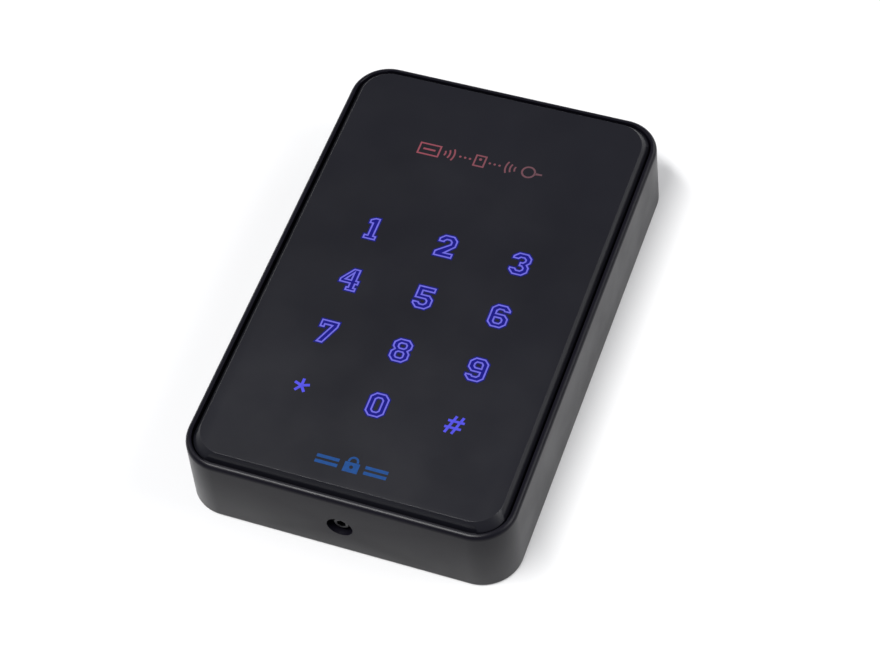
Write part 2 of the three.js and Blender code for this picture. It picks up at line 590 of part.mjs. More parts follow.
addNode('screw_retainer', screwRetainer(), WHITE, 0.6);

export default reader;
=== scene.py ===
# %% [markdown]
# # A wall-mounted card reader with a touch keypad
# The reader is a flat black case that hangs on a steel wall plate. Its front carries a raised, smooth touch
# panel with lit keys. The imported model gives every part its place, so this lesson only makes surfaces and
# shapes finer: the case, the panel, the lit key legends and the parts that show from behind.

# %% Load the frame
import bmesh
import bpy
import json
import math
from mathutils import Matrix, Vector


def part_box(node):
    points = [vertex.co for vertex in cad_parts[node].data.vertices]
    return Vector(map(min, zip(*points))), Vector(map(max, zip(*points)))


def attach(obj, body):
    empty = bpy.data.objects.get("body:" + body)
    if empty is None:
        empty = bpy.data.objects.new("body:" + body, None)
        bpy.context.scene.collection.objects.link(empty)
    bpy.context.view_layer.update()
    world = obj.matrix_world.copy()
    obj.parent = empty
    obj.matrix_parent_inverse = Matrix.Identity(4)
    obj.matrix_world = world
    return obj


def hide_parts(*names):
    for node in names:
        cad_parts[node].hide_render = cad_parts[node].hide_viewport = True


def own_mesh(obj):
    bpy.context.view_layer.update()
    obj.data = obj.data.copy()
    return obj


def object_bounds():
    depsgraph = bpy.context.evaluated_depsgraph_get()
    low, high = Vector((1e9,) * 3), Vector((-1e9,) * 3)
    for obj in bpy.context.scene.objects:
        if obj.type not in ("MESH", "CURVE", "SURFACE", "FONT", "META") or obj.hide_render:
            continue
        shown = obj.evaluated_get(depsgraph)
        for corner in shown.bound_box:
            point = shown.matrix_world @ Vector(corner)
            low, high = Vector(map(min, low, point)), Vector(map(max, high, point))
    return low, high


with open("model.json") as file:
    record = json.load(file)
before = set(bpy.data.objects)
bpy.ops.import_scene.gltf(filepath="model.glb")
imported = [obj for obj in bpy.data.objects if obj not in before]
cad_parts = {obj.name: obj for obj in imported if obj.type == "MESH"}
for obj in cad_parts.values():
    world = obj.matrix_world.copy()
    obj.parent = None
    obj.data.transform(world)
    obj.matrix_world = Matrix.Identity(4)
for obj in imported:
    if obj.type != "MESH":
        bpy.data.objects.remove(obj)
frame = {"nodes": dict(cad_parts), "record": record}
nodes = frame["nodes"]
cad_low, cad_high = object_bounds()
MM = 0.001
print("nodes", len(nodes), "size mm", [round(v / MM, 1) for v in cad_high - cad_low])

# %% [markdown]
# ## Working habits
# An operator acts on everything that is selected, so each step starts with nothing selected and picks its
# faces or edges by where they are. These small helpers keep that habit in one place.

# %% Helpers for selecting and finishing
def only(piece):
    if bpy.context.mode != "OBJECT":
        bpy.ops.object.mode_set(mode="OBJECT")
    bpy.ops.object.select_all(action="DESELECT")
    piece.select_set(True)
    bpy.context.view_layer.objects.active = piece


def edit(piece):
    only(piece)
    bpy.ops.object.mode_set(mode="EDIT")
    bpy.ops.mesh.select_all(action="DESELECT")


def pick_faces(piece, test):
    mesh = bmesh.from_edit_mesh(piece.data)
    bpy.context.tool_settings.mesh_select_mode = (False, False, True)
    for face in mesh.faces:
        face.select_set(bool(test(face.calc_center_median(), face.normal)))
    mesh.select_flush_mode()
    bmesh.update_edit_mesh(piece.data)


def pick_edges(piece, test):
    mesh = bmesh.from_edit_mesh(piece.data)
    bpy.ops.mesh.select_all(action="DESELECT")
    bpy.context.tool_settings.mesh_select_mode = (False, True, False)
    for edge in mesh.edges:
        edge.select_set(bool(test(edge.verts[0].co, edge.verts[1].co)))
    mesh.select_flush_mode()
    bmesh.update_edit_mesh(piece.data)


SAME_PLACE = 0.02 * MM


def near(a, b):
    return abs(a - b) < SAME_PLACE


def apply_modifiers(piece):
    only(piece)
    for modifier in list(piece.modifiers):
        bpy.ops.object.modifier_apply(modifier=modifier.name)


def finished(piece, body, *replaced, slot=None, angle=35):
    only(piece)
    bpy.ops.object.transform_apply(location=True, rotation=True, scale=True)
    bpy.ops.object.shade_smooth_by_angle(angle=math.radians(angle))
    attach(piece, body)
    if replaced:
        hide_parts(*replaced)
    print(piece.name, "faces", len(piece.data.polygons))
    return piece


# %% [markdown]
# ## Blocks with round corners
# Moulded plates and cases start as a box whose four upright edges are rounded. In Blender that is a cube at
# its size, with the upright edges picked and bevelled.

# %% A rounded block from a cube
def block(name, low, high, radius, segments=12):
    low, high = Vector(low), Vector(high)
    bpy.ops.object.select_all(action="DESELECT")
    bpy.ops.mesh.primitive_cube_add(size=1, location=(low + high) / 2)
    piece = bpy.context.object
    piece.name = name
    piece.data.name = name
    piece.scale = high - low
    bpy.ops.object.transform_apply(location=True, rotation=True, scale=True)
    if radius > 0:
        edit(piece)
        pick_edges(piece, lambda a, b: near(a.x, b.x) and near(a.y, b.y))
        bpy.ops.mesh.bevel(offset=radius, segments=segments, affect="EDGES", clamp_overlap=False)
        bpy.ops.object.mode_set(mode="OBJECT")
    return piece


def soften(piece, z, size, segments):
    """Rounds the outline edge that lies at one height."""
    edit(piece)
    pick_edges(piece, lambda a, b: near(a.z, z) and near(b.z, z))
    bpy.ops.mesh.bevel(offset=size, segments=segments, affect="EDGES", clamp_overlap=False)
    bpy.ops.object.mode_set(mode="OBJECT")


def cylinder(name, radius, start, end, vertices=48):
    start, end = Vector(start), Vector(end)
    along = end - start
    bpy.ops.object.select_all(action="DESELECT")
    bpy.ops.mesh.primitive_cylinder_add(
        vertices=vertices, radius=radius, depth=along.length, location=(start + end) / 2,
        rotation=along.to_track_quat("Z", "Y").to_euler())
    piece = bpy.context.object
    piece.name = name
    bpy.ops.object.transform_apply(location=True, rotation=True, scale=True)
    return piece


def combine(piece, tool, operation):
    only(piece)
    modifier = piece.modifiers.new(operation.lower(), "BOOLEAN")
    modifier.operation = operation
    modifier.solver = "EXACT"
    modifier.object = tool
    bpy.ops.object.modifier_apply(modifier=modifier.name)
    bpy.data.objects.remove(tool)


def cut(piece, *tools):
    for tool in tools:
        combine(piece, tool, "DIFFERENCE")


def join(piece, *tools):
    for tool in tools:
        combine(piece, tool, "UNION")


# %% [markdown]
# ## Finishes
# Moulded plastic is never one flat colour: it has a faint mottle, a fine spark-eroded grain that catches
# the light, and a roughness that varies where it has been handled. One function builds that recipe, and
# each finish gives it its own colour, grain size and depth.

# %% The moulded plastic recipe
def new_material(name, color, roughness, metallic=0.0, specular=0.5, coat=0.0):
    material = bpy.data.materials.new(name)
    material.use_nodes = True
    shader = material.node_tree.nodes["Principled BSDF"]
    shader.inputs["Base Color"].default_value = (*color, 1)
    shader.inputs["Roughness"].default_value = roughness
    shader.inputs["Metallic"].default_value = metallic
    shader.inputs["Specular IOR Level"].default_value = specular
    shader.inputs["Coat Weight"].default_value = coat
    shader.inputs["Coat Roughness"].default_value = 0.1
    return material, material.node_tree, shader


def noise(tree, size, detail=4.0, stretch=(1, 1, 1)):
    """A noise whose blotches are about one size across, in metres, read from Object coordinates."""
    place = tree.nodes.new("ShaderNodeTexCoord")
    mapping = tree.nodes.new("ShaderNodeMapping")
    mapping.inputs["Scale"].default_value = stretch
    texture = tree.nodes.new("ShaderNodeTexNoise")
    texture.inputs["Scale"].default_value = 1 / size
    texture.inputs["Detail"].default_value = detail
    tree.links.new(place.outputs["Object"], mapping.inputs["Vector"])
    tree.links.new(mapping.outputs["Vector"], texture.inputs["Vector"])
    return texture.outputs["Fac"]


def spread(tree, value, low, high):
    """Maps a noise, whose values bunch round a half, to a range of numbers."""
    node = tree.nodes.new("ShaderNodeMapRange")
    node.inputs["From Min"].default_value = 0.3
    node.inputs["From Max"].default_value = 0.7
    node.inputs["To Min"].default_value = low
    node.inputs["To Max"].default_value = high
    tree.links.new(value, node.inputs["Value"])
    return node.outputs["Result"]


def tint(tree, value, dark, light):
    ramp = tree.nodes.new("ShaderNodeValToRGB")
    ramp.color_ramp.elements[0].position = 0.3
    ramp.color_ramp.elements[0].color = (*dark, 1)
    ramp.color_ramp.elements[1].position = 0.7
    ramp.color_ramp.elements[1].color = (*light, 1)
    tree.links.new(value, ramp.inputs["Fac"])
    return ramp.outputs["Color"]


def relief(tree, shader, value, depth):
    bump = tree.nodes.new("ShaderNodeBump")
    bump.inputs["Distance"].default_value = depth
    bump.inputs["Strength"].default_value = 1.0
    tree.links.new(value, bump.inputs["Height"])
    tree.links.new(bump.outputs["Normal"], shader.inputs["Normal"])


def moulded(name, dark, light, rough, grain, depth, specular=0.5, coat=0.0, blotch=0.02):
    material, tree, shader = new_material(name, light, rough[0], specular=specular, coat=coat)
    tree.links.new(tint(tree, noise(tree, blotch), dark, light), shader.inputs["Base Color"])
    tree.links.new(spread(tree, noise(tree, blotch * 0.6, 6), *rough), shader.inputs["Roughness"])
    relief(tree, shader, noise(tree, grain, 3), depth)
    return material


def metal(name, dark, light, rough, brushed=(1, 1, 1), scratch=0.0006, depth=0.00001):
    material, tree, shader = new_material(name, light, rough[0], metallic=1.0)
    streaks = noise(tree, scratch, 5, brushed)
    tree.links.new(tint(tree, noise(tree, 0.008), dark, light), shader.inputs["Base Color"])
    tree.links.new(spread(tree, streaks, *rough), shader.inputs["Roughness"])
    relief(tree, shader, streaks, depth)
    return material


# %% The finishes of this reader
case_black = moulded("case_black", (0.0036, 0.0033, 0.0056), (0.0046, 0.0042, 0.0072), (0.28, 0.36),
                     0.00035, 0.000012, specular=0.15)
panel_black = moulded("panel_black", (0.0046, 0.0046, 0.0068), (0.0056, 0.0056, 0.0084), (0.30, 0.38),
                      0.0016, 0.0000035, specular=0.36, blotch=0.03)
FINISHES = {
    "plate_steel": moulded("plate_powder_coat", (0.014, 0.014, 0.015), (0.022, 0.022, 0.024),
                           (0.45, 0.62), 0.0007, 0.00005),
    "insert_brass": metal("turned_brass", (0.52, 0.33, 0.10), (0.66, 0.45, 0.16), (0.22, 0.4), (1, 6, 1)),
    "housing_plastic": case_black,
    "panel_face": panel_black,
    "adhesive_foam": moulded("foam_tape", (0.01, 0.01, 0.01), (0.03, 0.03, 0.03), (0.8, 0.95),
                             0.0004, 0.00008),
    "diffuser_sheet": moulded("milky_sheet", (0.78, 0.78, 0.82), (0.88, 0.88, 0.9), (0.4, 0.5),
                              0.001, 0.000005),
    "sensor_film": moulded("amber_film", (0.45, 0.34, 0.16), (0.6, 0.48, 0.26), (0.2, 0.3),
                           0.002, 0.00001, coat=0.5),
    "baffle_plastic": moulded("white_baffle", (0.72, 0.72, 0.69), (0.82, 0.82, 0.79), (0.45, 0.6),
                              0.0005, 0.00001),
    "board_laminate": moulded("solder_mask", (0.006, 0.055, 0.022), (0.012, 0.095, 0.04), (0.22, 0.36),
                              0.0012, 0.00002, coat=0.4, blotch=0.006),
    "led_body": moulded("lamp_body", (0.72, 0.68, 0.5), (0.86, 0.84, 0.72), (0.2, 0.35), 0.0004, 0.00001),
    "coil_wire": metal("enamelled_copper", (0.36, 0.11, 0.03), (0.56, 0.2, 0.06), (0.25, 0.4),
                       (1, 1, 14), 0.0008, 0.00008),
    "chip_epoxy": moulded("chip_epoxy", (0.008, 0.008, 0.008), (0.016, 0.016, 0.016), (0.5, 0.65),
                          0.0003, 0.00001),
    "can_aluminium": metal("drawn_can", (0.6, 0.61, 0.63), (0.74, 0.75, 0.77), (0.2, 0.34), (1, 1, 5)),
    "crystal_can": metal("plated_can", (0.62, 0.63, 0.65), (0.76, 0.77, 0.79), (0.14, 0.26)),
    "buzzer_plastic": moulded("buzzer_black", (0.008, 0.008, 0.008), (0.014, 0.014, 0.014), (0.4, 0.5),
                              0.0004, 0.00001),
    "socket_nylon": moulded("socket_nylon", (0.62, 0.59, 0.5), (0.74, 0.72, 0.64), (0.42, 0.55),
                            0.0005, 0.00001),
    "cover_plastic": moulded("cover_black", (0.010, 0.010, 0.011), (0.016, 0.016, 0.018), (0.5, 0.64),
                             0.0005, 0.00003),
    "gasket_silicone": moulded("grey_silicone", (0.12, 0.125, 0.13), (0.17, 0.175, 0.18), (0.6, 0.75),
                               0.0006, 0.00002),
    "screw_steel": metal("zinc_plate", (0.5, 0.51, 0.54), (0.66, 0.67, 0.69), (0.22, 0.38)),
    "grommet_rubber": moulded("soft_rubber", (0.009, 0.009, 0.009), (0.02, 0.02, 0.02), (0.68, 0.85),
                              0.0005, 0.00003),
    "switch_plastic": moulded("switch_black", (0.012, 0.012, 0.012), (0.02, 0.02, 0.02), (0.4, 0.5),
                              0.0004, 0.00001),
    "plunger_nylon": moulded("plunger_nylon", (0.64, 0.62, 0.54), (0.76, 0.75, 0.68), (0.38, 0.5),
                             0.0005, 0.00001),
    "spring_steel": metal("spring_wire", (0.5, 0.51, 0.53), (0.68, 0.69, 0.71), (0.18, 0.3)),
    "security_screw_steel": metal("black_zinc", (0.03, 0.03, 0.032), (0.06, 0.06, 0.064), (0.26, 0.42)),
    "retainer_nylon": moulded("retainer_nylon", (0.62, 0.61, 0.55), (0.75, 0.74, 0.68), (0.4, 0.52),
                              0.0005, 0.00001),
}
slot_of = {part["node"]: part["material_slot"] for part in frame["record"]["subparts"]}


def give(piece, *materials):
    piece.data.materials.clear()
    for material in materials:
        piece.data.materials.append(material)


for name, node in nodes.items():
    give(node, FINISHES[slot_of[name]])
print("finishes", len(FINISHES))

# %% [markdown]
# ## Floor, light and camera
# The reader lies on its back on a white floor. A black case shows its shape by what it mirrors. Its right
# wall mirrors the floor, its rounded edges the soft box in front, and its flat panel the sky. So the sky
# stays dim, and the light comes from soft boxes in front and at the right.

# %% The floor
bpy.ops.object.select_all(action="DESELECT")
FLOOR_SIZE = 6
FLOOR_GAP = 0.02 * MM
bpy.ops.mesh.primitive_plane_add(size=FLOOR_SIZE, location=(0, 0, cad_low.z - FLOOR_GAP))
floor = bpy.context.object
floor.name = "studio_floor"
floor_paint, floor_tree, floor_shader = new_material("floor_white", (0.46, 0.46, 0.46), 0.9, specular=0.1)
floor_shader.inputs["Emission Color"].default_value = (1.0, 1.0, 1.0, 1)
floor_shader.inputs["Emission Strength"].default_value = 0.26
floor_tree.links.new(tint(floor_tree, noise(floor_tree, 0.4), (0.45, 0.45, 0.45), (0.47, 0.47, 0.47)),
                     floor_shader.inputs["Base Color"])
give(floor, floor_paint)

# %% The lights
def soft_box(name, place, size, power, aim=(0, 0, 0)):
    light = bpy.data.lights.new(name, "AREA")
    light.shape = "RECTANGLE"
    light.size, light.size_y = size
    light.energy = power
    lamp = bpy.data.objects.new(name, light)
    bpy.context.scene.collection.objects.link(lamp)
    lamp.location = place
    lamp.rotation_euler = (Vector(place) - Vector(aim)).to_track_quat("Z", "Y").to_euler()
    return lamp


soft_box("front_box", (-0.3, -0.40, 1.4), (0.8, 0.2), 30)
soft_box("right_box", (1.3, 0.35, 1.0), (0.9, 0.9), 14)
soft_box("left_box", (-1.3, -0.1, 0.9), (0.8, 0.8), 3)
soft_box("back_box", (0.9, 1.3, 0.7), (0.8, 0.5), 6)
SKY_STRENGTH = 0.24
world = bpy.data.worlds.new("studio_sky")
world.use_nodes = True
sky = world.node_tree.nodes["Background"]
sky.inputs["Color"].default_value = (0.86, 0.88, 1.0, 1)
sky.inputs["Strength"].default_value = SKY_STRENGTH
bpy.context.scene.world = world
bpy.context.scene.view_settings.view_transform = "Standard"

# %% The camera
VIEW_AROUND = math.radians(25.26)
VIEW_ABOVE = math.radians(54.604)
VIEW_ROLL = math.radians(-6.974)
VIEW_DISTANCE = 545.9 * MM
VIEW_SHIFT = (1.087 * MM, 0.999 * MM)
back = Vector((math.sin(VIEW_AROUND) * math.cos(VIEW_ABOVE),
               -math.cos(VIEW_AROUND) * math.cos(VIEW_ABOVE), math.sin(VIEW_ABOVE)))
level = (-back).cross(Vector((0, 0, 1))).normalized()
upright = level.cross(-back)
right = math.cos(VIEW_ROLL) * level + math.sin(VIEW_ROLL) * upright
up = -math.sin(VIEW_ROLL) * level + math.cos(VIEW_ROLL) * upright
lens = bpy.data.cameras.new("camera")
lens.lens = 96.07
lens.sensor_width = 36
lens.clip_start = 0.01
camera = bpy.data.objects.new("camera", lens)
bpy.context.scene.collection.objects.link(camera)
turn = Matrix((right, up, back)).transposed().to_4x4()
camera.matrix_world = Matrix.Translation(back * VIEW_DISTANCE + right * VIEW_SHIFT[0]
                                         + up * VIEW_SHIFT[1]) @ turn
bpy.context.scene.camera = camera
print("camera", [round(v, 3) for v in camera.location])

# %% [markdown]
# ## The case
# The real case is one deep moulding with slightly leaning walls, a narrow flat rim and a pocket for the
# panel. It starts as a rounded block. The top is drawn in a little, inset for the rim and pushed down for
# the pocket. The back is hollowed with a cut. Then the compartment, the screw bosses and the tube of the
# locking screw are added, and their holes are cut last.

# %% Sizes of the case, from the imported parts
case_low, case_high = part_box("front_housing")
panel_low, panel_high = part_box("touch_panel")
cover_low, cover_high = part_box("rear_cover")
board_low, board_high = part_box("main_board")
screw_low, screw_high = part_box("security_screw")
window_low, window_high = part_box("light_baffle")
plate_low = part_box("wall_plate")[0]
retainer_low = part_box("screw_retainer")[0]
CORNER = 9.1 * MM
LEAN = 0.5 * MM
LEDGE = 1.6 * MM
RIM_ROUND = 1.2 * MM
CREASE_ROUND = 0.3 * MM
PANEL_GAP = 0.3 * MM
PANEL_BED = 1.5 * MM
WEB = 1.4 * MM
PLATE_GAP = 0.6 * MM
SKIN = 0.3 * MM
PAST = 1 * MM
pocket_floor = panel_low.z - PANEL_BED
hollow_top = pocket_floor - WEB
# The plate's upper end carries the hook lips, which reach into the wall, so its lower end gives the hollow.
skirt_x = PLATE_GAP - plate_low.x
skirt_y = PLATE_GAP - plate_low.y
print("hollow mm", round(skirt_x * 2 / MM, 1), round(skirt_y * 2 / MM, 1), round(hollow_top / MM, 1))

# %% The outside of the case
CORNER_STEPS = 20
case = block("case_shell", case_low, case_high, CORNER, CORNER_STEPS)
edit(case)
pick_faces(case, lambda c, n: n.z > 0.9)
bpy.ops.transform.resize(
    value=((case_high.x - LEAN) / case_high.x, (case_high.y - LEAN) / case_high.y, 1),
    center_override=(0, 0, case_high.z))
bpy.ops.object.mode_set(mode="OBJECT")
soften(case, case_high.z, RIM_ROUND, 8)
edit(case)
pick_faces(case, lambda c, n: n.z > 0.99)
bpy.ops.mesh.inset(thickness=LEDGE - RIM_ROUND, depth=0)
bpy.ops.mesh.extrude_region_move(
    TRANSFORM_OT_translate={"value": (0, 0, pocket_floor - case_high.z)})
bpy.ops.object.mode_set(mode="OBJECT")
crease_x = case_high.x - LEAN - LEDGE
crease_y = case_high.y - LEAN - LEDGE
edit(case)
pick_edges(case, lambda a, b: near(a.z, case_high.z) and near(b.z, case_high.z)
           and max(abs(a.x), abs(b.x)) < crease_x + SAME_PLACE
           and max(abs(a.y), abs(b.y)) < crease_y + SAME_PLACE)
bpy.ops.mesh.bevel(offset=CREASE_ROUND, segments=3, affect="EDGES", clamp_overlap=False)
bpy.ops.object.mode_set(mode="OBJECT")
BACK_ROUND = 0.25 * MM
soften(case, case_low.z, BACK_ROUND, 3)
print("case faces", len(case.data.polygons))

# %% The hollow back of the case
HOLLOW_CORNER = 6.6 * MM
cut(case, block("hollow", (-skirt_x, -skirt_y, -PAST), (skirt_x, skirt_y, hollow_top), HOLLOW_CORNER))
print("case faces", len(case.data.polygons))

# %% The compartment for the board
SEAT_RISE = 1.2 * MM
BOARD_GAP = 2 * MM
ROOM_CORNER, ROOM_INNER_CORNER = 4 * MM, 0.8 * MM
seat_z = cover_high.z + SEAT_RISE
room_low = Vector((board_low.x - BOARD_GAP, board_low.y - BOARD_GAP, seat_z))
room_high = Vector((board_high.x + BOARD_GAP, board_high.y + BOARD_GAP, hollow_top))
room = block("room", (-skirt_x - SKIN, cover_low.y, seat_z),
             (skirt_x + SKIN, cover_high.y, hollow_top + SKIN), ROOM_CORNER, 8)
cut(room, block("room_inside", room_low - Vector((0, 0, PAST)), room_high, ROOM_INNER_CORNER, 4))
join(case, room)
print("case faces", len(case.data.polygons))

# %% The bosses of the cover screws and the window for the lamps
BOSS_RADIUS, PILOT_RADIUS = 3.1 * MM, 1.4 * MM
BOSS_INSET = 2.3 * MM
WINDOW_GAP = 0.4 * MM
WINDOW_CORNER = 6 * MM
boss_x = room_high.x - BOSS_INSET
for side in (-1, 1):
    for y in (room_low.y + BOSS_INSET, room_high.y - BOSS_INSET):
        x = side * boss_x
        join(case, cylinder("boss", BOSS_RADIUS, (x, y, seat_z), (x, y, hollow_top + SKIN)))
        cut(case, cylinder("pilot", PILOT_RADIUS, (x, y, 0), (x, y, hollow_top - PAST), 24))
window_x = window_high.x + WINDOW_GAP
cut(case, block("light_window", (-window_x, window_low.y - WINDOW_GAP, hollow_top - PAST),
                (window_x, window_high.y + WINDOW_GAP, pocket_floor + PAST), WINDOW_CORNER, 8))
print("case faces", len(case.data.polygons))

# %% The tube of the locking screw
TUBE_RADIUS, HEAD_BORE, SHANK_BORE = 4.6 * MM, 3.0 * MM, 1.8 * MM
TUBE_START = 0.4 * MM
SHELF_LOW, SHELF_HIGH = 1.7 * MM, 0.3 * MM
RIB_HALF, RIB_RISE = 1.2 * MM, 2 * MM
BORE_PAST = 2 * MM
lock_z = (screw_low.z + screw_high.z) / 2
tube_start = screw_low.y - TUBE_START
shelf_y = retainer_low.y - SHELF_LOW
shelf_in = retainer_low.y - SHELF_HIGH
join(case, cylinder("tube", TUBE_RADIUS, (0, tube_start, lock_z), (0, shelf_in, lock_z)),
     block("tube_rib", (-RIB_HALF, tube_start, lock_z + RIB_RISE),
           (RIB_HALF, shelf_in, hollow_top + SKIN), 0))
cut(case, cylinder("head_bore", HEAD_BORE, (0, case_low.y - BORE_PAST, lock_z), (0, shelf_y, lock_z)),
    cylinder("shank_bore", SHANK_BORE, (0, shelf_y - PAST, lock_z), (0, shelf_in + PAST, lock_z), 32))
print("case faces", len(case.data.polygons))

# %% The catches for the hooks
HOOK_X, HOOK_HALF = 20 * MM, 4.6 * MM
CATCH_LOW, CATCH_HIGH, CATCH_DEPTH = 5.7 * MM, 9 * MM, 1.4 * MM
for side in (-1, 1):
    cut(case, block("catch", (side * HOOK_X - HOOK_HALF, skirt_y - PAST, CATCH_LOW),
                    (side * HOOK_X + HOOK_HALF, skirt_y + CATCH_DEPTH, CATCH_HIGH), 0))
give(case, case_black)
finished(case, "case", "front_housing", slot="housing_plastic", angle=30)

# %% [markdown]
# ## The touch panel
# The panel is a smooth plate with a sloping side. Its top is drawn up and in for the slope, and the edge is
# only just broken. The flat face stays one clean polygon, so it mirrors without ripples.

# %% The panel
SLOPE_WIDE, SLOPE_HIGH = 1.35 * MM, 1.9 * MM
EDGE_ROUND, FOOT_ROUND = 0.03 * MM, 0.2 * MM
panel = block("touch_panel_face", panel_low, (panel_high.x, panel_high.y, panel_high.z - SLOPE_HIGH),
              CORNER - LEAN - LEDGE - PANEL_GAP, CORNER_STEPS)
edit(panel)
pick_faces(panel, lambda c, n: n.z > 0.9)
bpy.ops.mesh.extrude_region_move(TRANSFORM_OT_translate={"value": (0, 0, SLOPE_HIGH)})
bpy.ops.transform.resize(
    value=((panel_high.x - SLOPE_WIDE) / panel_high.x, (panel_high.y - SLOPE_WIDE) / panel_high.y, 1),
    center_override=(0, 0, panel_high.z))
bpy.ops.object.mode_set(mode="OBJECT")
soften(panel, panel_high.z, EDGE_ROUND, 3)
soften(panel, panel_low.z, FOOT_ROUND, 2)
give(panel, panel_black)
finished(panel, "case", "touch_panel", slot="panel_face", angle=40)

# %% [markdown]
# ## The lit key legends
# Behind the black panel a lamp shines through a thin clear line round each figure. Each figure is a block
# numeral with cut corners. Its outline is drawn once. Moved in by the width of the line it bounds the dim
# filling, and moved out it bounds the faint glow in the panel, so all three follow from one drawing.

# %% The light of the legends
def glowing(name, color):
    material, tree, shader = new_material(name, (0.003, 0.003, 0.004), 0.3, specular=0.2)
    shader.inputs["Emission Strength"].default_value = 1.0
    tree.links.new(tint(tree, noise(tree, 0.0009, 2), tuple(c * 0.82 for c in color), color),
                   shader.inputs["Emission Color"])
    return material


legend_line = glowing("legend_line", (0.18, 0.165, 0.82))
legend_fill = glowing("legend_fill", (0.004, 0.003, 0.25))
legend_glow = glowing("legend_glow", (0.004, 0.006, 0.19))
legend_solid = glowing("legend_solid", (0.10, 0.095, 0.86))

# %% A flat figure from its outlines
INLAY = 0.05 * MM
PROUD = 0.012 * MM
WELD = 0.001 * MM


def flat_figure(name, loops, top):
    """Fills closed outlines, given in metres on the panel, as one flat mesh at a height."""
    curve = bpy.data.curves.new(name, "CURVE")
    curve.dimensions = "2D"
    curve.fill_mode = "BOTH"
    for loop in loops:
        spline = curve.splines.new("POLY")
        spline.points.add(len(loop) - 1)
        for point, (x, y) in zip(spline.points, loop):
            point.co = (x, y, 0, 1)
        spline.use_cyclic_u = True
    drawn = bpy.data.objects.new(name, curve)
    bpy.context.scene.collection.objects.link(drawn)
    only(drawn)
    bpy.ops.object.convert(target="MESH")
    figure = bpy.context.object
    figure.name = name
    figure.location = (0, 0, top)
    bpy.ops.object.transform_apply(location=True, rotation=True, scale=True)
    edit(figure)
    bpy.ops.mesh.select_all(action="SELECT")
    bpy.ops.mesh.remove_doubles(threshold=WELD)
    bpy.ops.object.mode_set(mode="OBJECT")
    # Each separate patch may face either way. All of them have to look up, or some grow out of the panel.
    if any(face.normal.z < 0 for face in figure.data.polygons):
        edit(figure)
        pick_faces(figure, lambda c, n: n.z < 0)
        bpy.ops.mesh.flip_normals()
        bpy.ops.object.mode_set(mode="OBJECT")
    return figure


def thicken(figure):
    """Draws a flat figure straight down into the panel, which leaves its top exactly where it was."""
    edit(figure)
    bpy.ops.mesh.select_all(action="SELECT")
    bpy.ops.mesh.extrude_region_move(TRANSFORM_OT_translate={"value": (0, 0, -INLAY)})
    bpy.ops.mesh.select_all(action="SELECT")
    bpy.ops.mesh.normals_make_consistent(inside=False)
    bpy.ops.object.mode_set(mode="OBJECT")


def grown(loop, width, hole):
    """Moves every side of a closed outline out by a width, or into the opening when it is a hole."""
    turning = sum(x0 * y1 - x1 * y0 for (x0, y0), (x1, y1) in zip(loop, loop[1:] + loop[:1]))
    if (turning < 0) != hole:
        loop = loop[::-1]
    moved = []
    for before, here, after in zip(loop[-1:] + loop[:-1], loop, loop[1:] + loop[:1]):
        sides = []
        for (x0, y0), (x1, y1) in ((before, here), (here, after)):
            sides.append(Vector((y1 - y0, x0 - x1)).normalized())
        reach = (sides[0] + sides[1]) * width / (1 + sides[0].dot(sides[1]))
        moved.append((here[0] + reach.x, here[1] + reach.y))
    return moved


def outlined(name, loops, top, line, glow):
    """A figure in three flat bodies that meet edge to edge: the glow, the bright line and the filling."""
    inner = [grown(loop, -line, i > 0) for i, loop in enumerate(loops)]
    outer = [grown(loop, glow, i > 0) for i, loop in enumerate(loops)]
    bodies = []
    for kind, shape in ((legend_line, loops + inner), (legend_fill, inner), (legend_glow, outer + loops)):
        body = flat_figure(name, shape, top)
        give(body, kind)
        thicken(body)
        bodies.append(body)
    only(bodies[0])
    for body in bodies[1:]:
        body.select_set(True)
    bpy.ops.object.join()
    bodies[0].name = name
    return bodies[0]


